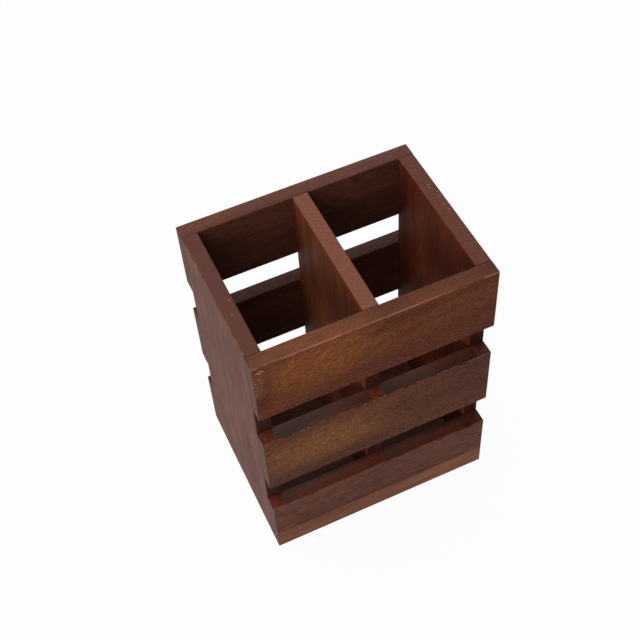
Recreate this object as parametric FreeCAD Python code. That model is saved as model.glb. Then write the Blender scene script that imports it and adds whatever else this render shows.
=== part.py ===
"""Open-topped slatted utensil caddy of stained hardwood, in millimetres.

Frame: X runs from left to right along the front, Y from front to back and Z up. The origin is
the middle of the footprint, on the surface that the caddy stands on.

Two side boards and a divider stand on edge from front to back. Three slats cross their front
edges and three cross their back edges, level with each other, so that the gaps run round the
divider. A base board lies between the sides and the lowest slats. Blind dowels hold every seam.
"""
import FreeCAD, Part
import os
from FreeCAD import Vector

# Overall form
OVERALL_WIDTH = 152.0        # outer face of one side board to that of the other
CLEAR_DEPTH = 96.0           # inner face of the front slats to that of the back slats

# Upright boards
SIDE_THICKNESS = 10.0
DIVIDER_THICKNESS = 10.0
DIVIDER_OFFSET = 0.0         # from the middle plane, towards the right

# Slats
SLAT_ROWS = 3
SLAT_HEIGHT = 50.0
SLAT_GAP = 26.5              # open height between two rows
SLAT_THICKNESS = 10.0
LOWER_STAVE_HEIGHT = 17.0    # of the two staves glued into the lowest front slat

# Base board
BASE_THICKNESS = 10.0

# Eased edges
EDGE_EASE = 0.8              # radius along the outer edges and rims that hands touch
SEAM_EASE = 0.4              # chamfer round board ends and where two boards meet

# Dowels
DOWEL_DIAMETER = 5.0
DOWEL_LENGTH = 17.0
FACE_BORE_DEPTH = 6.0        # dowel in the face of a slat, side or base board
BORE_CLEARANCE = 0.1         # between dowel and bore, all round
BORE_END_GAP = 0.5           # glue space past each end of a dowel
BASE_DOWEL_SPACING = 56.0    # between the two dowels at one end of the base board
DIVIDER_DOWEL_SPACING = 50.0 # between the two dowels under the divider

# Places that follow from the sizes
HEIGHT = SLAT_ROWS * SLAT_HEIGHT + (SLAT_ROWS - 1) * SLAT_GAP
HALF_WIDTH = OVERALL_WIDTH / 2
HALF_DEPTH = CLEAR_DEPTH / 2
INNER_SIDE_X = HALF_WIDTH - SIDE_THICKNESS
UPRIGHT_X = {
    "left_side": -HALF_WIDTH + SIDE_THICKNESS / 2,
    "divider": DIVIDER_OFFSET,
    "right_side": HALF_WIDTH - SIDE_THICKNESS / 2,
}
ROW_NAMES = ("bottom", "middle", "top")
FRONT, BACK = -1, 1

SAME_PLACE = 1e-6            # what is nearer than this coincides
AXIS_X, AXIS_Y, AXIS_Z = Vector(1, 0, 0), Vector(0, 1, 0), Vector(0, 0, 1)


def box(x_span, y_span, z_span):
    """A plain board between two values on each axis."""
    low = Vector(x_span[0], y_span[0], z_span[0])
    return Part.makeBox(x_span[1] - x_span[0], y_span[1] - y_span[0], z_span[1] - z_span[0], low)


def edges_along(shape, axis):
    """The straight edges of a shape that run along an axis."""
    found = []
    for edge in shape.Edges:
        if isinstance(edge.Curve, Part.Line) and edge.Curve.Direction.cross(axis).Length < SAME_PLACE:
            found.append(edge)
    return found


def eased_slat(x_span, y_span, z_span, seam_y):
    """A slat, rounded along its outer edges and chamfered at its ends and against the uprights."""
    slat = box(x_span, y_span, z_span)
    outer = [edge for edge in edges_along(slat, AXIS_X)
             if abs(edge.CenterOfMass.y - seam_y) > SLAT_THICKNESS / 2]
    slat = slat.makeFillet(EDGE_EASE, outer)
    light = [edge for edge in edges_along(slat, AXIS_X)
             if abs(edge.CenterOfMass.y - seam_y) < SAME_PLACE]
    for face in slat.Faces:
        if face.Surface.isPlanar() and abs(face.normalAt(0, 0).dot(AXIS_X)) > 0.99:
            light += face.Edges
    return slat.makeChamfer(SEAM_EASE, light)


def eased_upright(x_span, y_span, z_span):
    """A board on edge, rounded along its top rim and chamfered where the slats cross it."""
    board = box(x_span, y_span, z_span)
    board = board.makeChamfer(SEAM_EASE, edges_along(board, AXIS_Z))
    rim = [edge for edge in edges_along(board, AXIS_Y) if edge.CenterOfMass.z > z_span[1] - SAME_PLACE]
    return board.makeFillet(EDGE_EASE, rim)


def dowel(seam, direction):
    """A dowel across a seam.

    The seam point lies where the dowel passes from the board whose face is bored, into the one
    that is bored deep. The direction points into the deep bore.
    """
    start = seam - direction * (FACE_BORE_DEPTH - BORE_END_GAP)
    return Part.makeCylinder(DOWEL_DIAMETER / 2, DOWEL_LENGTH, start, direction)


def bore(seam, direction):
    """The hole for a dowel, as the one cutter that makes it in both boards."""
    length = DOWEL_LENGTH + 2 * BORE_END_GAP
    start = seam - direction * FACE_BORE_DEPTH
    return Part.makeCylinder(DOWEL_DIAMETER / 2 + BORE_CLEARANCE, length, start, direction)


def slat_bottom(row):
    """The height of the lower edge of a row of slats."""
    return row * (SLAT_HEIGHT + SLAT_GAP)


def slat_seams(row, face):
    """The dowel seams of one slat: one at the middle of each upright that it crosses."""
    middle = slat_bottom(row) + SLAT_HEIGHT / 2
    return [Vector(x, face * HALF_DEPTH, middle) for x in UPRIGHT_X.values()]


def base_seams(side):
    """The dowel seams between one side board and the end of the base board."""
    return [Vector(side * INNER_SIDE_X, step * BASE_DOWEL_SPACING, BASE_THICKNESS / 2)
            for step in (-0.5, 0.5)]


def divider_seams():
    """The dowel seams between the base board and the foot of the divider."""
    return [Vector(DIVIDER_OFFSET, step * DIVIDER_DOWEL_SPACING, BASE_THICKNESS) for step in (-0.5, 0.5)]


def make_dowels():
    """Every group of dowels with its seams and the direction of the deep bore."""
    groups = {}
    for face, face_name in ((FRONT, "front"), (BACK, "back")):
        for row, row_name in enumerate(ROW_NAMES[:SLAT_ROWS]):
            groups[f"{face_name}_{row_name}_dowels"] = (slat_seams(row, face), AXIS_Y * -face)
    groups["base_left_dowels"] = (base_seams(-1), AXIS_X)
    groups["base_right_dowels"] = (base_seams(1), AXIS_X * -1)
    groups["divider_foot_dowels"] = (divider_seams(), AXIS_Z)
    return groups


def make_boards():
    """Every board of the caddy before it is bored."""
    uprights_y = (-HALF_DEPTH, HALF_DEPTH)
    boards = {
        "left_side": eased_upright((-HALF_WIDTH, -INNER_SIDE_X), uprights_y, (0, HEIGHT)),
        "right_side": eased_upright((INNER_SIDE_X, HALF_WIDTH), uprights_y, (0, HEIGHT)),
        "divider": eased_upright(
            (DIVIDER_OFFSET - DIVIDER_THICKNESS / 2, DIVIDER_OFFSET + DIVIDER_THICKNESS / 2),
            uprights_y, (BASE_THICKNESS, HEIGHT)),
        "base_board": box((-INNER_SIDE_X, INNER_SIDE_X), uprights_y, (0, BASE_THICKNESS)),
    }
    whole_width = (-HALF_WIDTH, HALF_WIDTH)
    for face, face_name in ((FRONT, "front"), (BACK, "back")):
        seam_y = face * HALF_DEPTH
        y_span = sorted((seam_y, seam_y + face * SLAT_THICKNESS))
        for row, row_name in enumerate(ROW_NAMES[:SLAT_ROWS]):
            z_span = (slat_bottom(row), slat_bottom(row) + SLAT_HEIGHT)
            slat = eased_slat(whole_width, y_span, z_span, seam_y)
            boards[f"{face_name}_{row_name}_slat"] = slat
    glued = boards.pop("front_bottom_slat")
    glue_line = box(whole_width, (-HALF_DEPTH - SLAT_THICKNESS, -HALF_DEPTH),
                    (0, LOWER_STAVE_HEIGHT))
    boards["front_bottom_lower_stave"] = glued.common(glue_line)
    boards["front_bottom_upper_stave"] = glued.cut(glue_line)
    return boards


def main():
    """Build each piece as a solid of its own and write it to the parts folder."""
    boards = make_boards()
    pieces = {}
    bores = []
    for name, (seams, direction) in make_dowels().items():
        pieces[name] = Part.makeCompound([dowel(seam, direction) for seam in seams])
        bores += [bore(seam, direction) for seam in seams]
    for name, board in boards.items():
        reached = [cutter for cutter in bores if cutter.BoundBox.intersect(board.BoundBox)]
        pieces[name] = board.cut(reached) if reached else board
    os.makedirs("parts", exist_ok=True)
    for name, piece in pieces.items():
        piece.exportStep(f"parts/{name}.step")


main()
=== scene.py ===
"""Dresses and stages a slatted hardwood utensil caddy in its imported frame.

Lengths are metres, except inside the finishes, which work in millimetres of wood.
"""
from __future__ import annotations

import logging
import math
from dataclasses import dataclass
from enum import Enum
from typing import Any, Mapping, Sequence

import bpy
from mathutils import Matrix, Vector

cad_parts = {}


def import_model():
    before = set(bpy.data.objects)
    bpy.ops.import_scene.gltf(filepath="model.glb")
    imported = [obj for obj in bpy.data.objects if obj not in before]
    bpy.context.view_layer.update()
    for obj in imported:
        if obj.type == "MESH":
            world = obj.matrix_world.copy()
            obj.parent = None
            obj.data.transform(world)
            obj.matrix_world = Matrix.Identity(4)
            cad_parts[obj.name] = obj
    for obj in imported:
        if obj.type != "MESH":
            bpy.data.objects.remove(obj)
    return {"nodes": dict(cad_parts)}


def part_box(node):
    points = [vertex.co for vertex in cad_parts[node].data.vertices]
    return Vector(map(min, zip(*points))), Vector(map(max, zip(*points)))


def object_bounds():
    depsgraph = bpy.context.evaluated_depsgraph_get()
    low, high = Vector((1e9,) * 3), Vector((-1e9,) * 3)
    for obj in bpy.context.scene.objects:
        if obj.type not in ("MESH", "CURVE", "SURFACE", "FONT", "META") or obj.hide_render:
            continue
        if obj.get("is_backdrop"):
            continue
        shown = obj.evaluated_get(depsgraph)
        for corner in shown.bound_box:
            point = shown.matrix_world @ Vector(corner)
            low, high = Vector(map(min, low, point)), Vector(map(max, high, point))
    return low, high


log = logging.getLogger("caddy")

Colour = tuple[float, float, float]
Span = tuple[float, float]

MM_PER_METRE = 1000.0
WHITE: Colour = (1.0, 1.0, 1.0)
X, Y, Z = range(3)

# The sockets of a Mix node that mixes two colours
MIX_FIRST, MIX_SECOND, MIX_RESULT = 6, 7, 2

# How far noise is moved from one board to the next, and from one layer of a board to the next
BOARD_SHIFT, LAYER_SHIFT = 17.3, 5.9
NOISE_MIDDLE = 0.5


class Grain(Enum):
    """How a board's fibres run: the axis along them, then the wide and the narrow way across."""

    LENGTHWISE = (X, Z, Y)
    UPRIGHT = (Z, Y, X)


class WornSide(Enum):
    """The side on which a board's upper edge is worn: its axis, and whether it is the high one."""

    FRONT = (Y, False)
    BACK = (Y, True)
    LEFT = (X, False)


class Tint(Enum):
    """What a patch of a board turns towards."""

    GOLD = "gold"
    # Dusk darkens the wood, and some patches use it as painted shade.
    DUSK = "dusk"
    CURL = "curl"
    WHORL = "whorl"


def opaque(colour: Colour) -> tuple[float, float, float, float]:
    """A colour with full alpha."""
    return (*colour, 1.0)


def box_in_mm(node: str) -> list[Vector]:
    """The low and the high corner of a node's box, in millimetres."""
    return [corner * MM_PER_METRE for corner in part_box(node)]


def put_on(piece: bpy.types.Object, material: bpy.types.Material) -> None:
    """Gives a piece one material in place of what it has.

    Args:
        piece: The piece.
        material: Its finish.
    """
    piece.data.materials.clear()
    piece.data.materials.append(material)
    log.info("dressed %s", piece.name)


def add_object(name: str, data: bpy.types.ID) -> bpy.types.Object:
    """Adds an object to the scene.

    Args:
        name: Its name.
        data: Its camera, lamp or mesh.

    Returns:
        The object.
    """
    made = bpy.data.objects.new(name, data)
    bpy.context.scene.collection.objects.link(made)
    log.info("placed %s", name)
    return made


def outward(azimuth: float, elevation: float) -> Vector:
    """The direction out from the caddy at two angles.

    Args:
        azimuth: Degrees from straight before it, towards its right.
        elevation: Degrees above the level.

    Returns:
        A vector of length 1.
    """
    around, above = math.radians(azimuth), math.radians(elevation)
    level = math.cos(above)
    return Vector((math.sin(around) * level, -math.cos(around) * level, math.sin(above)))


class Signal:
    """A number, vector or colour on its way from one shader node to the next."""

    def __init__(self, sheet: NodeSheet, socket: bpy.types.NodeSocket) -> None:
        """Holds a socket together with the sheet that it is on.

        Args:
            sheet: The node sheet that new nodes are added to.
            socket: The output socket that carries the value.
        """
        self.sheet = sheet
        self.socket = socket

    def __add__(self, other: Signal | float) -> Signal:
        """Adds a number."""
        return self.sheet.maths("ADD", self, other)

    def __radd__(self, other: float) -> Signal:
        """Adds to a number."""
        return self.sheet.maths("ADD", other, self)

    def __sub__(self, other: Signal | float) -> Signal:
        """Takes a number away."""
        return self.sheet.maths("SUBTRACT", self, other)

    def __rsub__(self, other: float) -> Signal:
        """Takes this from a number."""
        return self.sheet.maths("SUBTRACT", other, self)

    def __mul__(self, other: Signal | float) -> Signal:
        """Multiplies by a number."""
        return self.sheet.maths("MULTIPLY", self, other)

    def __rmul__(self, other: float) -> Signal:
        """Multiplies a number."""
        return self.sheet.maths("MULTIPLY", other, self)

    def __truediv__(self, other: Signal | float) -> Signal:
        """Divides by a number."""
        return self.sheet.maths("DIVIDE", self, other)

    def __rtruediv__(self, other: float) -> Signal:
        """Divides a number."""
        return self.sheet.maths("DIVIDE", other, self)

    def __abs__(self) -> Signal:
        """Drops the sign."""
        return self.sheet.maths("ABSOLUTE", self)

    def at_least(self, other: Signal | float) -> Signal:
        """The larger of two numbers."""
        return self.sheet.maths("MAXIMUM", self, other)

    def swing(self, reach: float) -> Signal:
        """Noise round 0.5 as a sway round 0 that is as wide as the reach."""
        return (self - NOISE_MIDDLE) * reach


class NodeSheet:
    """The node tree of one material or world, written as expressions."""

    def __init__(self, owner: bpy.types.Material | bpy.types.World) -> None:
        """Starts with an empty tree.

        Args:
            owner: The material or world that the tree belongs to.
        """
        self.owner = owner
        owner.use_nodes = True
        self.tree = owner.node_tree
        self.tree.nodes.clear()

    def node(
        self,
        kind: str,
        settings: Mapping[str, Any] | None = None,
        inputs: Mapping[str | int, Any] | None = None,
        output: str | int | None = 0,
    ) -> Signal | None:
        """Adds one node.

        Args:
            kind: The node's type, such as ShaderNodeTexNoise.
            settings: Properties that are set first. "stops" are a ramp's places and colours.
            inputs: A value or a signal for each socket, by name or number.
            output: The output that is handed on, or None for a node that has none.

        Returns:
            The chosen output, if there is one.
        """
        made = self.tree.nodes.new(kind)
        for key, value in (settings or {}).items():
            if key == "stops":
                self._set_stops(made.color_ramp, value)
            else:
                setattr(made, key, value)
        for key, value in (inputs or {}).items():
            if isinstance(value, Signal):
                self.tree.links.new(value.socket, made.inputs[key])
            else:
                made.inputs[key].default_value = value
        return Signal(self, made.outputs[output]) if output is not None else None

    @staticmethod
    def _set_stops(ramp: bpy.types.ColorRamp, stops: Sequence[tuple[float, Colour]]) -> None:
        """Gives a colour ramp its stops.

        Args:
            ramp: The ramp.
            stops: The place from 0 to 1 and the colour of each stop.
        """
        while len(ramp.elements) < len(stops):
            ramp.elements.new(1.0)
        for element, (place, colour) in zip(ramp.elements, stops):
            element.position = place
            element.color = opaque(colour)

    def maths(self, operation: str, *values: Signal | float) -> Signal:
        """One Math node.

        Args:
            operation: The node's operation.
            *values: Its inputs, in order.

        Returns:
            The result.
        """
        return self.node("ShaderNodeMath", {"operation": operation}, dict(enumerate(values)))

    def vector(self, x: Signal | float, y: Signal | float, z: Signal | float) -> Signal:
        """A vector from three numbers."""
        return self.node("ShaderNodeCombineXYZ", None, {"X": x, "Y": y, "Z": z})

    def parts(self, vector: Signal) -> tuple[Signal, Signal, Signal]:
        """The three numbers of a vector."""
        split = self.node("ShaderNodeSeparateXYZ", None, {"Vector": vector}).socket.node
        return tuple(Signal(self, socket) for socket in split.outputs)

    def scale(self, vector: Signal, factor: Signal | float) -> Signal:
        """Multiplies a vector or a colour by a number."""
        inputs = {0: vector, "Scale": factor}
        return self.node("ShaderNodeVectorMath", {"operation": "SCALE"}, inputs)

    def step(self, value: Signal, span: Span) -> Signal:
        """A smooth step from 0 to 1.

        Args:
            value: The number that is tested.
            span: Where the step is at 0 and where it is at 1. The first may be the higher.

        Returns:
            A number from 0 to 1.
        """
        falling = span[0] > span[1]
        inputs = {
            "Value": value,
            "From Min": min(span),
            "From Max": max(span),
            "To Min": float(falling),
            "To Max": float(not falling),
        }
        return self.node("ShaderNodeMapRange", {"interpolation_type": "SMOOTHSTEP"}, inputs)

    def blend(self, share: Signal | float, first: Any, second: Any) -> Signal:
        """Mixes two colours.

        Args:
            share: How much of the second colour, from 0 to 1.
            first: A colour or a signal.
            second: A colour or a signal.

        Returns:
            The mixed colour.
        """
        first, second = (opaque(c) if isinstance(c, tuple) else c for c in (first, second))
        inputs = {"Factor": share, MIX_FIRST: first, MIX_SECOND: second}
        return self.node("ShaderNodeMix", {"data_type": "RGBA"}, inputs, MIX_RESULT)

    def noise(self, place: Signal, detail: float, roughness: float, bend: float = 0.0) -> Signal:
        """Smooth noise of about one wave per unit.

        Args:
            place: Where it is read.
            detail: How many finer layers lie on it.
            roughness: How strong those layers are.
            bend: How far it is bent by itself.

        Returns:
            A number round 0.5.
        """
        inputs = {
            "Vector": place,
            "Scale": 1.0,
            "Detail": detail,
            "Roughness": roughness,
            "Distortion": bend,
        }
        return self.node("ShaderNodeTexNoise", {"noise_dimensions": "3D"}, inputs, "Fac")

    def finish(self, surface: Signal) -> bpy.types.Material | bpy.types.World:
        """Joins the surface to the output.

        Args:
            surface: The shader.

        Returns:
            The finished material or world.
        """
        kind = "World" if isinstance(self.owner, bpy.types.World) else "Material"
        self.node(f"ShaderNodeOutput{kind}", None, {"Surface": surface}, None)
        return self.owner


@dataclass(frozen=True)
class Marks:
    """One layer of noise in the wood.

    The marks' length runs along the fibres and their width across them, in millimetres. The
    layer is a number that keeps the layers of one board apart. The detail is how many finer
    layers ride on this one, the roughness how strong those are, and the bend how far it is bent
    by itself.
    """

    length: float
    width: float
    layer: int
    detail: float = 2.0
    roughness: float = 0.5
    bend: float = 0.0


@dataclass
class GrainField:
    """Wood coordinates of one board, in millimetres: along the fibres, wide and deep across."""

    sheet: NodeSheet
    along: Signal
    wide: Signal
    deep: Signal
    seed: int

    def across(self, slant: float) -> Signal:
        """The way across marks that lie at a slant to the fibres, in millimetres."""
        turn = math.radians(slant)
        return self.wide * math.cos(turn) - self.along * math.sin(turn)

    def noise(self, marks: Marks, slant: float = 0.0, stretch: float = 1.0) -> Signal:
        """Reads one layer of noise.

        Args:
            marks: The layer.
            slant: The marks' angle to the fibres, in degrees.
            stretch: What their length is multiplied by.

        Returns:
            A number round 0.5.
        """
        turn = math.radians(slant)
        along = self.along * math.cos(turn) + self.wide * math.sin(turn)
        wide = self.across(slant)
        shift = BOARD_SHIFT * self.seed + LAYER_SHIFT * marks.layer
        place = self.sheet.vector(
            along / (marks.length * stretch) + shift, wide / marks.width - shift, self.deep / marks.width
        )
        return self.sheet.noise(place, marks.detail, marks.roughness, marks.bend)


@dataclass(frozen=True)
class Nick:
    """A pale speck where the lacquer is chipped, in millimetres from the caddy's origin."""

    centre: tuple[float, float, float]
    radius: float = 0.7
    share: float = 0.50


@dataclass(frozen=True)
class Wear:
    """How far the stain is rubbed off an upper edge, in stretches how long and how broken."""

    side: WornSide
    stretch: float = 14.0
    share: float = 0.30
    breaks: float = 0.42


@dataclass(frozen=True)
class Patch:
    """A soft oval of another tint, in millimetres along the fibres and across them."""

    tint: Tint
    centre: tuple[float, float]
    reach: tuple[float, float]
    share: float


@dataclass(frozen=True)
class Stain:
    """A redder patch on an upper face, in millimetres along the board, as where stain gathered and in the
    corner before each upright.

    The back is how far in it spreads on the caddy's depth axis, or None over the whole face.
    """

    centre: float
    reach: float = 4.2
    share: float = 1.0
    back: float | None = None


# A redder patch on the upper face in the corner before each upright
RED_CORNER_PATCHES = (Stain(-71.0), Stain(0.0), Stain(71.0, share=0.45))


@dataclass(frozen=True)
class Figure:
    """The bands and streaks of the wood, and its patches of other tints, some of them painted shade.

    The tone is a weighted sum of three layers, and the stops are the tones at which the wood has
    its dark, middle and light colour. The band turn is how much of a board's low slant its bands
    take. The pitches are in radians for each millimetre, or for each reach of a whorl.
    """

    streaks: Marks = Marks(length=30.0, width=1.1, layer=1, detail=4.0, roughness=0.6)
    bands: Marks = Marks(length=130.0, width=11.0, layer=2, detail=3.0, roughness=0.5, bend=0.4)
    drift: Marks = Marks(length=70.0, width=40.0, layer=3, detail=1.0)
    streak_weight: float = 0.30
    band_weight: float = 0.50
    drift_weight: float = 0.25
    bias: float = -0.02
    band_turn: float = 0.4
    stops: tuple[float, float, float] = (0.30, 0.50, 0.72)
    flame: Marks = Marks(length=16.0, width=6.0, layer=4, detail=3.0, roughness=0.55)
    flame_reach: float = 0.9
    patch_edge: Span = (1.15, 0.25)
    whorl_flame: float = 0.3
    whorl_pitch: float = 26.0
    whorl_edge: Span = (0.0, 0.9)
    curl_sway: Marks = Marks(length=5.0, width=7.0, layer=11)
    curl_reach: float = 2.5
    curl_lean: float = 0.45
    curl_pitch: float = 3.4
    curl_edge: Span = (0.1, 0.9)

    def tone(self, grain: GrainField, board: Board, streaks: Signal) -> Signal:
        """How light the stained wood is before any patch.

        Args:
            grain: The board's wood coordinates.
            board: How it was cut.
            streaks: The fine streaks that ride on the bands.

        Returns:
            The tone, from 0 to 1.
        """
        bands = grain.noise(self.bands, board.low_slant * self.band_turn)
        fine = bands * self.band_weight + streaks * self.streak_weight
        return fine + grain.noise(self.drift) * self.drift_weight + self.bias

    def patch_share(self, grain: GrainField, patch: Patch, flame: Signal) -> Signal:
        """How far a patch turns the wood to its own tint.

        Args:
            grain: The board's wood coordinates.
            patch: The patch.
            flame: The noise that makes its outline ragged.

        Returns:
            The share, from 0 to 1.
        """
        sheet = grain.sheet
        along = (grain.along - patch.centre[0]) / patch.reach[0]
        wide = (grain.wide - patch.centre[1]) / patch.reach[1]
        middle = sheet.maths("SQRT", along * along + wide * wide)
        share = sheet.step(middle + flame.swing(self.flame_reach), self.patch_edge) * patch.share
        if patch.tint is Tint.CURL:
            return share * self._curls(grain)
        if patch.tint is Tint.WHORL:
            turns = sheet.maths("SINE", (middle + flame * self.whorl_flame) * self.whorl_pitch)
            return share * sheet.step(turns, self.whorl_edge)
        return share

    def _curls(self, grain: GrainField) -> Signal:
        """Fine pale lines where the fibres turn up through the face.

        Args:
            grain: The board's wood coordinates.

        Returns:
            How pale they are, from 0 to 1.
        """
        sway = grain.noise(self.curl_sway) * self.curl_reach
        lines = (grain.wide + grain.along * self.curl_lean + sway) * self.curl_pitch
        return grain.sheet.step(grain.sheet.maths("SINE", lines), self.curl_edge)


@dataclass(frozen=True)
class PoreStrokes:
    """The short dark strokes of open pores under the lacquer, and the ripple among them.

    The turn is where the strokes change over from the low slant to the slant, as a share of the
    board's width. The crests' pitch is in radians for each millimetre.
    """

    upper: Marks = Marks(length=1.0, width=0.60, layer=6, detail=1.5)
    lower: Marks = Marks(length=1.8, width=0.58, layer=7, detail=1.5)
    turn: Span = (0.10, 0.60)
    edge: Span = (0.38, 0.62)
    sway: Marks = Marks(length=5.0, width=2.6, layer=13)
    sway_reach: float = 3.0
    crest_pitch: float = 5.0
    crest_height: float = 0.3
    crest_middle: float = 0.5

    def depth(self, grain: GrainField, board: Board) -> Signal:
        """Draws the strokes of one board.

        Args:
            grain: The board's wood coordinates.
            board: How it was cut.

        Returns:
            How deep a stroke is, from 0 to 1.
        """
        sheet = grain.sheet
        upper = grain.noise(self.upper, board.slant, board.dash)
        lower = grain.noise(self.lower, board.low_slant, board.dash)
        if board.ripple:
            sway = grain.noise(self.sway, board.slant) * self.sway_reach + grain.deep
            upper_crests = self._crests(grain.across(board.slant) + sway)
            lower_crests = self._crests(grain.across(board.low_slant) + sway)
            upper = upper * (1 - board.ripple) + upper_crests * board.ripple
            lower = lower * (1 - board.ripple) + lower_crests * board.ripple
        _, wide_axis, _ = board.grain.value
        low, high = (corner[wide_axis] for corner in box_in_mm(board.node))
        upper_share = sheet.step((grain.wide - low) / (high - low), self.turn)
        return sheet.step(upper * upper_share + lower * (1 - upper_share), self.edge)

    def _crests(self, across: Signal) -> Signal:
        """The crests of the ripple, by the way across them in millimetres."""
        waves = across.sheet.maths("SINE", across * self.crest_pitch)
        return waves * self.crest_height + self.crest_middle


@dataclass(frozen=True)
class StainCrust:
    """Stain that dried thick, in pebbles with pits between them, with pale glints painted on top.

    The wander and the blur, in millimetres, are those of a stain's back.
    """

    mottle: Marks = Marks(length=1.6, width=1.1, layer=12, detail=3.0, roughness=0.65)
    mottle_reach: float = 0.8
    pool_edge: Span = (1.15, 0.80)
    back_wander: float = 5.0
    back_blur: float = 0.9
    pebbles: Marks = Marks(length=0.9, width=0.7, layer=14, detail=1.0)
    pebble_edge: Span = (0.36, 0.66)
    pebble_share: float = 0.5
    pit_share: float = 0.36
    painted_glints: Marks = Marks(length=0.6, width=0.55, layer=15, detail=0.0)
    painted_glint_edge: Span = (0.63, 0.73)
    painted_glint_share: float = 0.34
    height: float = 3.0
    coat_loss: float = 0.8

    def cover(
        self, grain: GrainField, stain: Stain, mottle: Signal, upper_share: Signal
    ) -> Signal:
        """How far one stain covers the face.

        Args:
            grain: The board's wood coordinates.
            stain: The stain.
            mottle: The noise that makes its outline ragged.
            upper_share: How far the face looks up.

        Returns:
            The share, from 0 to 1.
        """
        sheet = grain.sheet
        away = abs(grain.along - stain.centre) / stain.reach + mottle.swing(self.mottle_reach)
        share = sheet.step(away, self.pool_edge) * upper_share * stain.share
        if stain.back is None:
            return share
        inward = grain.deep + mottle.swing(self.back_wander)
        blur = (stain.back + self.back_blur, stain.back - self.back_blur)
        return share * sheet.step(inward, blur)


@dataclass(frozen=True)
class SawnEnd:
    """Growth rings and pores seen end on. The rings' pitches are in radians a millimetre."""

    deep_pitch: float = 0.81
    wide_pitch: float = 1.89
    ring_height: float = 0.5
    ring_drift: Marks = Marks(length=30.0, width=5.0, layer=7)
    ring_edge: Span = (0.1, 1.0)
    ring_share: float = 0.10
    dots: Marks = Marks(length=30.0, width=0.75, layer=8)
    dot_edge: Span = (0.42, 0.70)
    dot_share: float = 0.58

    def share(self, grain: GrainField) -> Signal:
        """How dark the rings and pores are.

        Args:
            grain: The board's wood coordinates.

        Returns:
            The share of dark, from 0 to 1.
        """
        sheet = grain.sheet
        waves = sheet.maths("SINE", grain.deep * self.deep_pitch + grain.wide * self.wide_pitch)
        rings = waves * self.ring_height + grain.noise(self.ring_drift)
        dots = sheet.step(grain.noise(self.dots), self.dot_edge)
        return sheet.step(rings, self.ring_edge) * self.ring_share + dots * self.dot_share


@dataclass(frozen=True)
class Rubbing:
    """How edges lose their stain and how nicks chip the lacquer.

    The line is how far in from both faces of an edge the rubbing fades, in millimetres.
    """

    rub: Marks = Marks(length=1.0, width=6.0, layer=9, detail=3.0, roughness=0.65)
    rub_blur: float = 0.16
    line: Span = (0.78, 0.36)
    ragged: Marks = Marks(length=0.9, width=0.7, layer=10, detail=1.0)
    ragged_reach: float = 0.8
    chip_edge: Span = (1.0, 0.6)

    def edge_share(self, grain: GrainField, board: Board, axes: Sequence[Signal]) -> Signal:
        """How far the stain is rubbed off a board's worn edge.

        Args:
            grain: The board's wood coordinates.
            board: The board, with its wear.
            axes: The position along X, Y and Z, in millimetres.

        Returns:
            The share, from 0 to 1.
        """
        sheet, wear = grain.sheet, board.wear
        low, high = box_in_mm(board.node)
        axis, is_high = wear.side.value
        inward = high[axis] - axes[axis] if is_high else axes[axis] - low[axis]
        line = sheet.step((high[Z] - axes[Z]).at_least(inward), self.line)
        breaks = (wear.breaks, wear.breaks + self.rub_blur)
        return line * (sheet.step(grain.noise(self.rub, stretch=wear.stretch), breaks) * wear.share)

    def chip_share(self, nick: Nick, axes: Sequence[Signal], ragged: Signal) -> Signal:
        """How far the lacquer is chipped off at a nick.

        Args:
            nick: The nick.
            axes: The position along X, Y and Z, in millimetres.
            ragged: The sway that makes its outline ragged.

        Returns:
            The share, from 0 to 1.
        """
        sheet = ragged.sheet
        offsets = [axis - at for axis, at in zip(axes, nick.centre)]
        away = sheet.maths("SQRT", sum(offset * offset for offset in offsets))
        return sheet.step(away / nick.radius + ragged, self.chip_edge) * nick.share


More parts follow.
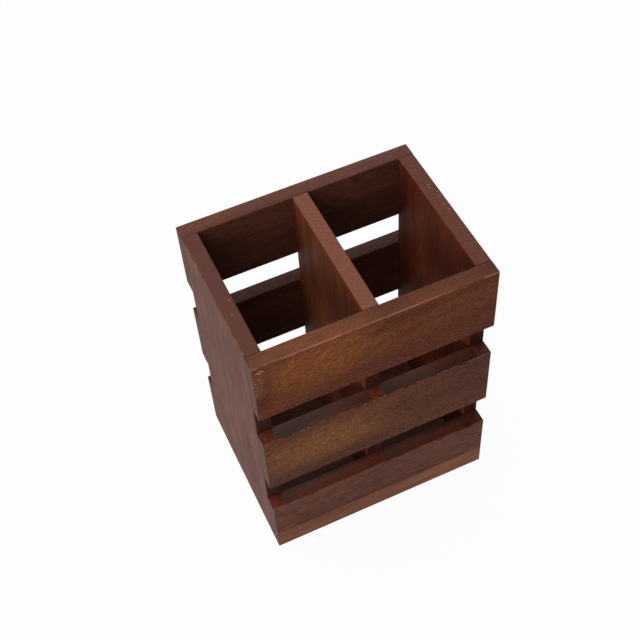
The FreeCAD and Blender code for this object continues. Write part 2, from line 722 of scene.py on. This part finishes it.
@dataclass(frozen=True)
class StainedHardwood:
    """Open-pored hardwood under red-brown stain and satin lacquer.

    The spans of facing say how square a face is to an axis, where 1 is square to it.
    """

    dark: Colour = (0.032, 0.0068, 0.0034)
    middle: Colour = (0.067, 0.0172, 0.0056)
    light: Colour = (0.102, 0.0310, 0.0108)
    gold: Colour = (0.168, 0.0540, 0.0138)
    dusk: Colour = (0.042, 0.0085, 0.0060)
    pool: Colour = (0.140, 0.0275, 0.0125)
    end_grain: Colour = (0.092, 0.0385, 0.0270)
    worn: Colour = (0.420, 0.200, 0.120)
    chipped: Colour = (0.560, 0.430, 0.340)
    figure: Figure = Figure()
    pores: PoreStrokes = PoreStrokes()
    crust: StainCrust = StainCrust()
    sawn_end: SawnEnd = SawnEnd()
    rubbing: Rubbing = Rubbing()
    facing_square: Span = (0.55, 0.85)
    facing_up: Span = (0.60, 0.90)
    end_share: float = 0.85
    edge_stroke_loss: float = 0.45
    stroke_balance: float = 0.5
    pore_depth: float = 0.00005
    bump_strength: float = 0.5
    streak_height: float = 0.3
    roughness: float = 0.50
    streak_roughness: float = 0.10
    stroke_roughness: float = 0.12
    specular: float = 0.04
    upper_coat: float = 0.22
    coat_roughness: float = 0.16

    def material(self, board: Board) -> bpy.types.Material:
        """Makes the wood of one board.

        Args:
            board: The board and how it was cut.

        Returns:
            The material.
        """
        sheet = NodeSheet(bpy.data.materials.new(f"hardwood_{board.node}"))
        position = sheet.node("ShaderNodeTexCoord", output="Object")
        axes = [axis * MM_PER_METRE for axis in sheet.parts(position)]
        along, wide, deep = board.grain.value
        grain = GrainField(sheet, axes[along], axes[wide], axes[deep], board.seed)
        facing = sheet.parts(sheet.node("ShaderNodeTexCoord", output="Normal"))
        end_share = sheet.step(abs(facing[along]), self.facing_square)
        edge_share = sheet.step(abs(facing[wide]), self.facing_square)
        upper_share = sheet.step(facing[Z], self.facing_up) * (1 - end_share)
        streaks = grain.noise(self.figure.streaks)
        strokes = self.pores.depth(grain, board)
        strength = (1 - edge_share * self.edge_stroke_loss) * board.stroke
        relief = 1 + strength * self.stroke_balance - strokes * strength
        # Painted shade and painted light: the narrow long faces are made darker or lighter.
        painted_edge_light_and_shade = 1 + edge_share * (board.painted_edge_light_and_shade - 1)
        colour = sheet.scale(self._stained(grain, board, streaks), relief * painted_edge_light_and_shade)
        colour, crust = self._pool(grain, board, upper_share, colour)
        sawn = sheet.blend(self.sawn_end.share(grain), self.end_grain, self.dark)
        colour = sheet.blend(end_share * self.end_share, colour, sawn)
        colour = self._wear(grain, board, axes, colour)
        bump = {
            "Strength": self.bump_strength,
            "Distance": self.pore_depth,
            "Height": streaks * self.streak_height - strokes + crust * self.crust.height,
        }
        rough = streaks * self.streak_roughness + strokes * self.stroke_roughness
        surface = {
            "Base Color": colour,
            "Roughness": rough + (self.roughness - self.streak_roughness),
            "Specular IOR Level": self.specular,
            "Normal": sheet.node("ShaderNodeBump", None, bump),
            "Coat Weight": upper_share * self.upper_coat * (1 - crust * self.crust.coat_loss),
            "Coat Roughness": self.coat_roughness,
        }
        return sheet.finish(sheet.node("ShaderNodeBsdfPrincipled", None, surface))

    def _stained(self, grain: GrainField, board: Board, streaks: Signal) -> Signal:
        """The stained wood with its patches of other tints.

        Args:
            grain: The board's wood coordinates.
            board: How it was cut.
            streaks: The fine streaks that ride on the bands.

        Returns:
            The colour.
        """
        sheet = grain.sheet
        tone = self.figure.tone(grain, board, streaks)
        stops = list(zip(self.figure.stops, (self.dark, self.middle, self.light)))
        colour = sheet.node("ShaderNodeValToRGB", {"stops": stops}, {"Fac": tone})
        if not board.patches:
            return colour
        flame = grain.noise(self.figure.flame, board.slant)
        tints = {Tint.GOLD: self.gold, Tint.CURL: self.worn}
        for patch in board.patches:
            share = self.figure.patch_share(grain, patch, flame)
            colour = sheet.blend(share, colour, tints.get(patch.tint, self.dusk))
        return colour

    def _pool(
        self, grain: GrainField, board: Board, upper_share: Signal, colour: Signal
    ) -> tuple[Signal, Signal | float]:
        """Reddens the upper face where stain gathered, and in the corner before each upright.

        Args:
            grain: The board's wood coordinates.
            board: The board, with its stains.
            upper_share: How far the face looks up.
            colour: The colour without the stain.

        Returns:
            The colour with it, and how thick its pebbled crust is, from 0 to 1.
        """
        if not board.stains:
            return colour, 0.0
        sheet, crust = grain.sheet, self.crust
        mottle = grain.noise(crust.mottle)
        pebbles = sheet.step(grain.noise(crust.pebbles), crust.pebble_edge)
        cover = 0.0
        for stain in board.stains:
            share = crust.cover(grain, stain, mottle, upper_share)
            colour = sheet.blend(share * (mottle + pebbles * crust.pebble_share), colour, self.pool)
            cover = share.at_least(cover)
        colour = sheet.blend(cover * (1 - pebbles) * crust.pit_share, colour, self.dark)
        thickness = cover * pebbles
        # Painted highlight: pale glints painted on the thick crust.
        painted_glints = sheet.step(grain.noise(crust.painted_glints), crust.painted_glint_edge)
        return sheet.blend(thickness * painted_glints * crust.painted_glint_share, colour, self.worn), thickness

    def _wear(
        self, grain: GrainField, board: Board, axes: Sequence[Signal], colour: Signal
    ) -> Signal:
        """Rubs the stain off the worn edge and chips the lacquer at the nicks.

        Args:
            grain: The board's wood coordinates.
            board: The board, with its wear and nicks.
            axes: The position along X, Y and Z, in millimetres.
            colour: The colour before wear.

        Returns:
            The colour after wear.
        """
        sheet = grain.sheet
        if board.wear:
            rubbed = self.rubbing.edge_share(grain, board, axes)
            colour = sheet.blend(rubbed, colour, self.worn)
        if board.nicks:
            ragged = grain.noise(self.rubbing.ragged).swing(self.rubbing.ragged_reach)
            for nick in board.nicks:
                chip = self.rubbing.chip_share(nick, axes, ragged)
                colour = sheet.blend(chip, colour, self.chipped)
        return colour


class Stock(Enum):
    """The timber that a board comes from, as it looks under the stain. Two are darker copies that paint
    shade.
    """

    RUDDY = StainedHardwood()
    OCHRE = StainedHardwood(
        dark=(0.032, 0.0090, 0.0050),
        middle=(0.060, 0.0190, 0.0085),
        light=(0.086, 0.0310, 0.0135),
        gold=(0.132, 0.0510, 0.0185),
        dusk=(0.038, 0.0125, 0.0085),
    )
    PLAIN = StainedHardwood(
        dark=(0.046, 0.0140, 0.0080),
        middle=(0.072, 0.0255, 0.0157),
        light=(0.095, 0.0370, 0.0225),
        dusk=(0.040, 0.0125, 0.0075),
        upper_coat=0.10,
    )
    PALE = StainedHardwood(
        dark=(0.084, 0.0295, 0.0170),
        middle=(0.119, 0.0455, 0.0260),
        light=(0.154, 0.0625, 0.0340),
        gold=(0.172, 0.0640, 0.0270),
    )
    # A darker copy of the stain for the back slats and the base board: painted shade for the dim inside.
    SHADED_DEEP = StainedHardwood(
        dark=(0.029, 0.0098, 0.0060),
        middle=(0.055, 0.0185, 0.0110),
        light=(0.079, 0.0290, 0.0165),
        upper_coat=0.12,
    )
    SIDE = StainedHardwood(
        dark=(0.058, 0.0170, 0.0105),
        middle=(0.106, 0.0360, 0.0215),
        light=(0.152, 0.0570, 0.0340),
        end_grain=(0.056, 0.0190, 0.0120),
        roughness=0.62,
        specular=0.10,
        upper_coat=0.0,
    )
    # The right side's redder wood, made darker as painted shade on its inside wall.
    WARM_SHADED_SIDE = StainedHardwood(
        dark=(0.048, 0.0095, 0.0048),
        middle=(0.094, 0.0198, 0.0094),
        light=(0.138, 0.0340, 0.0160),
        roughness=0.62,
        upper_coat=0.0,
    )
    DIVIDER = StainedHardwood(
        dark=(0.064, 0.0150, 0.0085),
        middle=(0.134, 0.0350, 0.0155),
        light=(0.194, 0.0590, 0.0265),
        end_grain=(0.144, 0.0590, 0.0385),
        roughness=0.62,
        upper_coat=0.0,
    )


@dataclass(frozen=True)
class BareDowel:
    """Pale dowel rod, as it comes from the mill."""

    pale: Colour = (0.560, 0.380, 0.210)
    streak: Colour = (0.420, 0.260, 0.130)
    speckles_per_metre: float = 1600.0
    speckle_detail: float = 3.0
    speckle_strength: float = 0.6
    speckle_edge: Span = (0.35, 0.70)
    roughness: float = 0.6

    def material(self, name: str) -> bpy.types.Material:
        """Makes the wood of one group of dowels.

        Args:
            name: The group's node.

        Returns:
            The material.
        """
        sheet = NodeSheet(bpy.data.materials.new(f"dowel_rod_{name}"))
        position = sheet.node("ShaderNodeTexCoord", output="Object")
        place = sheet.scale(position, self.speckles_per_metre)
        speckles = sheet.noise(place, self.speckle_detail, self.speckle_strength)
        share = sheet.step(speckles, self.speckle_edge)
        colour = sheet.blend(share, self.pale, self.streak)
        surface = {"Base Color": colour, "Roughness": self.roughness}
        return sheet.finish(sheet.node("ShaderNodeBsdfPrincipled", None, surface))


@dataclass(frozen=True)
class Board:
    """One board of the caddy, how it was cut and what use has done to it.

    The pore strokes lie at the slant near the board's upper edge and turn to the low slant near
    its lower edge, both in degrees to the fibres. The dash is their length in millimetres, the
    stroke how dark they are, and the ripple how far even waves take their place, from 0 to 1.
    The painted edge light and shade is how much lighter or darker the narrow long faces are
    painted: painted shade where they lie under a slat, painted light on a rim. Stains lie on the
    upper face.
    """

    node: str
    seed: int
    slant: float = 0.0
    low_slant: float = 0.0
    dash: float = 10.0
    stroke: float = 0.5
    ripple: float = 0.0
    grain: Grain = Grain.LENGTHWISE
    stock: Stock = Stock.RUDDY
    painted_edge_light_and_shade: float = 1.0
    wear: Wear | None = None
    stains: tuple[Stain, ...] = ()
    patches: tuple[Patch, ...] = ()
    nicks: tuple[Nick, ...] = ()

    def dress(self, nodes: Mapping[str, bpy.types.Object]) -> None:
        """Puts its wood on the board's node."""
        put_on(nodes[self.node], self.stock.value.material(self))


@dataclass(frozen=True)
class FrontSlats:
    """The three slats across the front. The lowest is glued up from two staves."""

    lower_stave: Board = Board(
        "front_bottom_lower_stave",
        seed=1,
        slant=3.0,
        low_slant=2.0,
        dash=22.0,
        stroke=0.40,
        stock=Stock.PALE,
        patches=(Patch(Tint.GOLD, (58.0, 9.0), (46.0, 16.0), 0.40),),
    )
    upper_stave: Board = Board(
        "front_bottom_upper_stave",
        seed=2,
        slant=4.0,
        low_slant=3.0,
        dash=7.0,
        stroke=0.75,
        ripple=0.20,
        stock=Stock.PLAIN,
        # Painted shade on the top and bottom faces, which lie under the slat above.
        painted_edge_light_and_shade=0.55,
        wear=Wear(WornSide.FRONT, share=0.10),
        stains=(
            *RED_CORNER_PATCHES,
            Stain(-33.0, reach=30.0, share=0.68, back=-50.8),
            Stain(34.0, reach=30.0, share=0.40, back=-51.2),
        ),
        patches=(
            Patch(Tint.DUSK, (0.0, 17.0), (110.0, 7.0), 0.75),
            # Painted shadow on the right of the upper face, under the slat above.
            Patch(Tint.DUSK, (60.0, 54.0), (40.0, 8.0), 0.95),
        ),
        nicks=(
            Nick((-76.0, -57.6, 49.2), radius=0.5),
            Nick((-76.0, -57.6, 17.6), radius=0.6),
        ),
    )
    middle: Board = Board(
        "front_middle_slat",
        seed=3,
        slant=16.0,
        low_slant=4.0,
        dash=1.5,
        stroke=1.15,
        ripple=0.42,
        stock=Stock.OCHRE,
        # Painted shade on the top and bottom faces, which lie under the slat above.
        painted_edge_light_and_shade=0.60,
        wear=Wear(WornSide.FRONT, stretch=2.0, share=0.20),
        stains=(
            *RED_CORNER_PATCHES,
            Stain(-26.0, reach=22.0, share=0.40, back=-55.2),
            Stain(38.0, reach=26.0, share=0.14),
        ),
        patches=(
            Patch(Tint.GOLD, (-38.0, 104.0), (54.0, 18.0), 0.65),
            Patch(Tint.DUSK, (68.0, 104.0), (36.0, 32.0), 0.55),
            Patch(Tint.DUSK, (-10.0, 78.0), (90.0, 11.0), 0.50),
            # Painted shadow on the right of the upper face, under the slat above.
            Patch(Tint.DUSK, (60.0, 130.0), (40.0, 8.0), 0.95),
        ),
        nicks=(
            Nick((-22.5, -57.5, 77.0)),
            Nick((-42.0, -57.5, 77.0), radius=0.5),
            Nick((17.4, -57.5, 77.0), radius=0.9),
        ),
    )
    top: Board = Board(
        "front_top_slat",
        seed=4,
        slant=30.0,
        low_slant=12.0,
        dash=2.8,
        stroke=1.28,
        ripple=0.50,
        wear=Wear(WornSide.FRONT, stretch=30.0, share=0.32, breaks=0.38),
        patches=(
            Patch(Tint.GOLD, (-40.0, 188.0), (46.0, 24.0), 0.52),
            Patch(Tint.DUSK, (30.0, 155.0), (110.0, 15.0), 0.50),
            # Painted shade at the left end of the slat.
            Patch(Tint.DUSK, (-74.0, 178.0), (11.0, 26.0), 0.75),
            Patch(Tint.DUSK, (8.0, 206.0), (16.0, 6.0), 0.60),
            Patch(Tint.CURL, (-74.0, 186.0), (6.0, 15.0), 0.30),
            Patch(Tint.CURL, (-71.0, 198.5), (2.6, 1.4), 0.90),
            Patch(Tint.WHORL, (28.0, 197.0), (14.0, 8.0), 0.90),
        ),
    )

    def dress(self, nodes: Mapping[str, bpy.types.Object]) -> None:
        """Puts the wood on each slat."""
        for board in (self.lower_stave, self.upper_stave, self.middle, self.top):
            board.dress(nodes)


@dataclass(frozen=True)
class BackSlats:
    """The three slats across the back."""

    bottom: Board = Board(
        "back_bottom_slat",
        seed=5,
        slant=4.0,
        low_slant=2.0,
        dash=14.0,
        stock=Stock.SHADED_DEEP,
        painted_edge_light_and_shade=0.70,
        wear=Wear(WornSide.BACK),
    )
    middle: Board = Board(
        "back_middle_slat",
        seed=6,
        slant=-8.0,
        low_slant=-3.0,
        dash=8.0,
        stroke=0.60,
        stock=Stock.SHADED_DEEP,
        painted_edge_light_and_shade=0.70,
        wear=Wear(WornSide.BACK),
    )
    top: Board = Board(
        "back_top_slat",
        seed=7,
        slant=10.0,
        low_slant=4.0,
        dash=8.0,
        stroke=0.60,
        stock=Stock.SHADED_DEEP,
        # Painted light: this slat's top and bottom faces are made lighter.
        painted_edge_light_and_shade=1.3,
        wear=Wear(WornSide.BACK),
    )

    def dress(self, nodes: Mapping[str, bpy.types.Object]) -> None:
        """Puts the wood on each slat."""
        for board in (self.bottom, self.middle, self.top):
            board.dress(nodes)


@dataclass(frozen=True)
class Uprights:
    """The two sides and the divider, standing on edge from front to back."""

    rim_height: float = 203.0
    nick_radius: float = 0.5
    nick_share: float = 0.30
    left_nicks: tuple[tuple[float, float], ...] = ((-68.5, -7.6), (-70.7, -18.1))
    right_nicks: tuple[tuple[float, float], ...] = (
        (71.8, 20.3),
        (71.4, 18.0),
        (74.1, 13.0),
        (73.7, 9.3),
        (72.2, 2.4),
        (73.4, -2.7),
    )
    left_wear: Wear = Wear(WornSide.LEFT, stretch=25.0, share=0.16)
    dash: float = 16.0
    stroke: float = 0.35
    # Painted shade on the uprights' front and back faces, which lie behind the slats.
    painted_edge_light_and_shade: float = 0.18

    def boards(self) -> list[Board]:
        """Cuts the three boards.

        Returns:
            The left side, the right side and the divider.
        """
        common: dict[str, Any] = {
            "grain": Grain.UPRIGHT,
            "dash": self.dash,
            "stroke": self.stroke,
            "painted_edge_light_and_shade": self.painted_edge_light_and_shade,
        }
        left = {"stock": Stock.SIDE, "wear": self.left_wear, "nicks": self._nicks(self.left_nicks)}
        right = {"stock": Stock.WARM_SHADED_SIDE, "nicks": self._nicks(self.right_nicks)}
        return [
            Board("left_side", seed=11, slant=4.0, low_slant=2.0, **left, **common),
            Board("right_side", seed=12, slant=-5.0, low_slant=-3.0, **right, **common),
            Board("divider", seed=13, slant=6.0, low_slant=3.0, stock=Stock.DIVIDER, **common),
        ]

    def _nicks(self, places: Sequence[tuple[float, float]]) -> tuple[Nick, ...]:
        """The nicks at some places of a rim."""
        return tuple(Nick((x, y, self.rim_height), self.nick_radius, self.nick_share) for x, y in places)

    def dress(self, nodes: Mapping[str, bpy.types.Object]) -> None:
        """Puts the wood on each upright."""
        for board in self.boards():
            board.dress(nodes)


@dataclass(frozen=True)
class Floor:
    """The base board inside, and all the dowels."""

    base: Board = Board("base_board", seed=21, stock=Stock.SHADED_DEEP)
    dowel_finish: BareDowel = BareDowel()
    dowel_ending: str = "_dowels"

    def dress(self, nodes: Mapping[str, bpy.types.Object]) -> None:
        """Puts the wood on the base board and on each group of dowels.

        Args:
            nodes: The CAD nodes by name.
        """
        self.base.dress(nodes)
        for name, piece in nodes.items():
            if name.endswith(self.dowel_ending):
                put_on(piece, self.dowel_finish.material(name))


@dataclass(frozen=True)
class Caddy:
    """The whole caddy, by its sub-assemblies."""

    front: FrontSlats = FrontSlats()
    back: BackSlats = BackSlats()
    uprights: Uprights = Uprights()
    floor: Floor = Floor()

    def dress(self, nodes: Mapping[str, bpy.types.Object]) -> None:
        """Puts every finish on its piece.

        Args:
            nodes: The CAD nodes by name.
        """
        for assembly in (self.front, self.back, self.uprights, self.floor):
            assembly.dress(nodes)


@dataclass(frozen=True)
class Viewpoint:
    """The camera: where its axis passes by the caddy, and from where it looks."""

    aim: tuple[float, float, float] = (-0.0042, 0.0203, 0.1150)
    azimuth: float = -21.1
    elevation: float = 52.2
    roll: float = -4.5
    distance: float = 0.758
    lens: float = 66.35
    sensor: float = 36.0

    def place(self) -> bpy.types.Object:
        """Makes the camera and sets it as the scene's.

        Returns:
            The camera.
        """
        around, turn = math.radians(self.azimuth), math.radians(self.roll)
        right = Vector((math.cos(around), math.sin(around), 0.0))
        back = outward(self.azimuth, self.elevation)
        up = back.cross(right)
        rolled_right = right * math.cos(turn) + up * math.sin(turn)
        rolled_up = up * math.cos(turn) - right * math.sin(turn)
        data = bpy.data.cameras.new("viewpoint")
        data.lens, data.sensor_width = self.lens, self.sensor
        camera = add_object("viewpoint", data)
        stand = Matrix.Translation(Vector(self.aim) + back * self.distance)
        camera.matrix_world = stand @ Matrix((rolled_right, rolled_up, back)).transposed().to_4x4()
        bpy.context.scene.camera = camera
        return camera


@dataclass(frozen=True)
class Lamp:
    """A soft square lamp, by its direction from the caddy."""

    name: str
    azimuth: float
    elevation: float
    distance: float
    side: float
    power: float
    colour: Colour = WHITE

    def hang(self, target: Vector) -> bpy.types.Object:
        """Makes the lamp, aimed at a point.

        Args:
            target: The point that it faces.

        Returns:
            The lamp.
        """
        away = outward(self.azimuth, self.elevation)
        data = bpy.data.lights.new(self.name, "AREA")
        data.size, data.energy, data.color = self.side, self.power, self.colour
        lamp = add_object(self.name, data)
        lamp.location = target + away * self.distance
        lamp.rotation_mode = "QUATERNION"
        lamp.rotation_quaternion = away.to_track_quat("Z", "Y")
        return lamp


@dataclass(frozen=True)
class Studio:
    """The pale floor, the world and the lamps."""

    half_side: float = 5.0
    drop: float = 0.0001
    ambient: float = 0.30
    floor_colour: Colour = (0.55, 0.55, 0.55)
    floor_lift: float = 0.96
    lifted: tuple[str, str, str] = ("Camera", "Glossy", "Transmission")
    lamps: tuple[Lamp, ...] = (
        Lamp(
            "key",
            azimuth=-25.0,
            elevation=16.0,
            distance=1.5,
            side=1.0,
            power=20.0,
            colour=(1.0, 0.97, 0.93),
        ),
        Lamp("top", azimuth=-145.0, elevation=72.0, distance=1.2, side=0.8, power=14.0),
        Lamp(
            "back",
            azimuth=150.0,
            elevation=30.0,
            distance=1.6,
            side=1.0,
            power=4.0,
            colour=(0.95, 0.97, 1.0),
        ),
    )

    def set_up(self, target: Vector) -> None:
        """Builds the whole studio round a point.

        Args:
            target: The point that the lamps face.
        """
        self._lay_floor()
        self._light_world()
        for lamp in self.lamps:
            lamp.hang(target)

    def _lay_floor(self) -> bpy.types.Object:
        """Lays a wide pale floor just under the caddy.

        Returns:
            The floor.
        """
        side, level = self.half_side, -self.drop
        corners = [(-side, -side, level), (side, -side, level), (side, side, level), (-side, side, level)]
        mesh = bpy.data.meshes.new("studio_floor")
        mesh.from_pydata(corners, [], [(0, 1, 2, 3)])
        floor = add_object("studio_floor", mesh)
        mesh.materials.append(self._floor_material())
        floor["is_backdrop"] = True
        return floor

    def _floor_material(self) -> bpy.types.Material:
        """A matte floor that looks nearly white to the camera and still takes the shadow.

        Returns:
            The material.
        """
        sheet = NodeSheet(bpy.data.materials.new("studio_floor"))
        matte = sheet.node("ShaderNodeBsdfDiffuse", None, {"Color": opaque(self.floor_colour)})
        white = sheet.node("ShaderNodeEmission", None, {"Strength": 1.0})
        seen = self._seen(sheet) * self.floor_lift
        return sheet.finish(sheet.node("ShaderNodeMixShader", None, {0: seen, 1: matte, 2: white}))

    def _light_world(self) -> bpy.types.World:
        """Lights the world evenly, and shows it white behind the caddy.

        Returns:
            The world.
        """
        sheet = NodeSheet(bpy.data.worlds.new("studio"))
        strength = self._seen(sheet) * (1.0 - self.ambient) + self.ambient
        background = {"Color": opaque(WHITE), "Strength": strength}
        world = sheet.finish(sheet.node("ShaderNodeBackground", None, background))
        bpy.context.scene.world = world
        return world

    def _seen(self, sheet: NodeSheet) -> Signal:
        """Whether a ray comes from the camera, a mirror or glass.

        Args:
            sheet: The node sheet of the floor or the world.

        Returns:
            1 if it does, 0 if it lights something else.
        """
        rays = [sheet.node("ShaderNodeLightPath", output=f"Is {kind} Ray") for kind in self.lifted]
        return rays[0].at_least(rays[1]).at_least(rays[2])


def main() -> None:
    """Builds the scene and aims the lamps at the middle of the caddy's box."""
    logging.basicConfig(level=logging.INFO, format="%(name)s: %(message)s")
    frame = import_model()
    cad_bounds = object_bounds()
    Viewpoint().place()
    Caddy().dress(frame["nodes"])
    Studio().set_up((cad_bounds[0] + cad_bounds[1]) / 2)
    bpy.context.scene.view_settings.view_transform = "Standard"


if __name__ == "__main__":
    main()
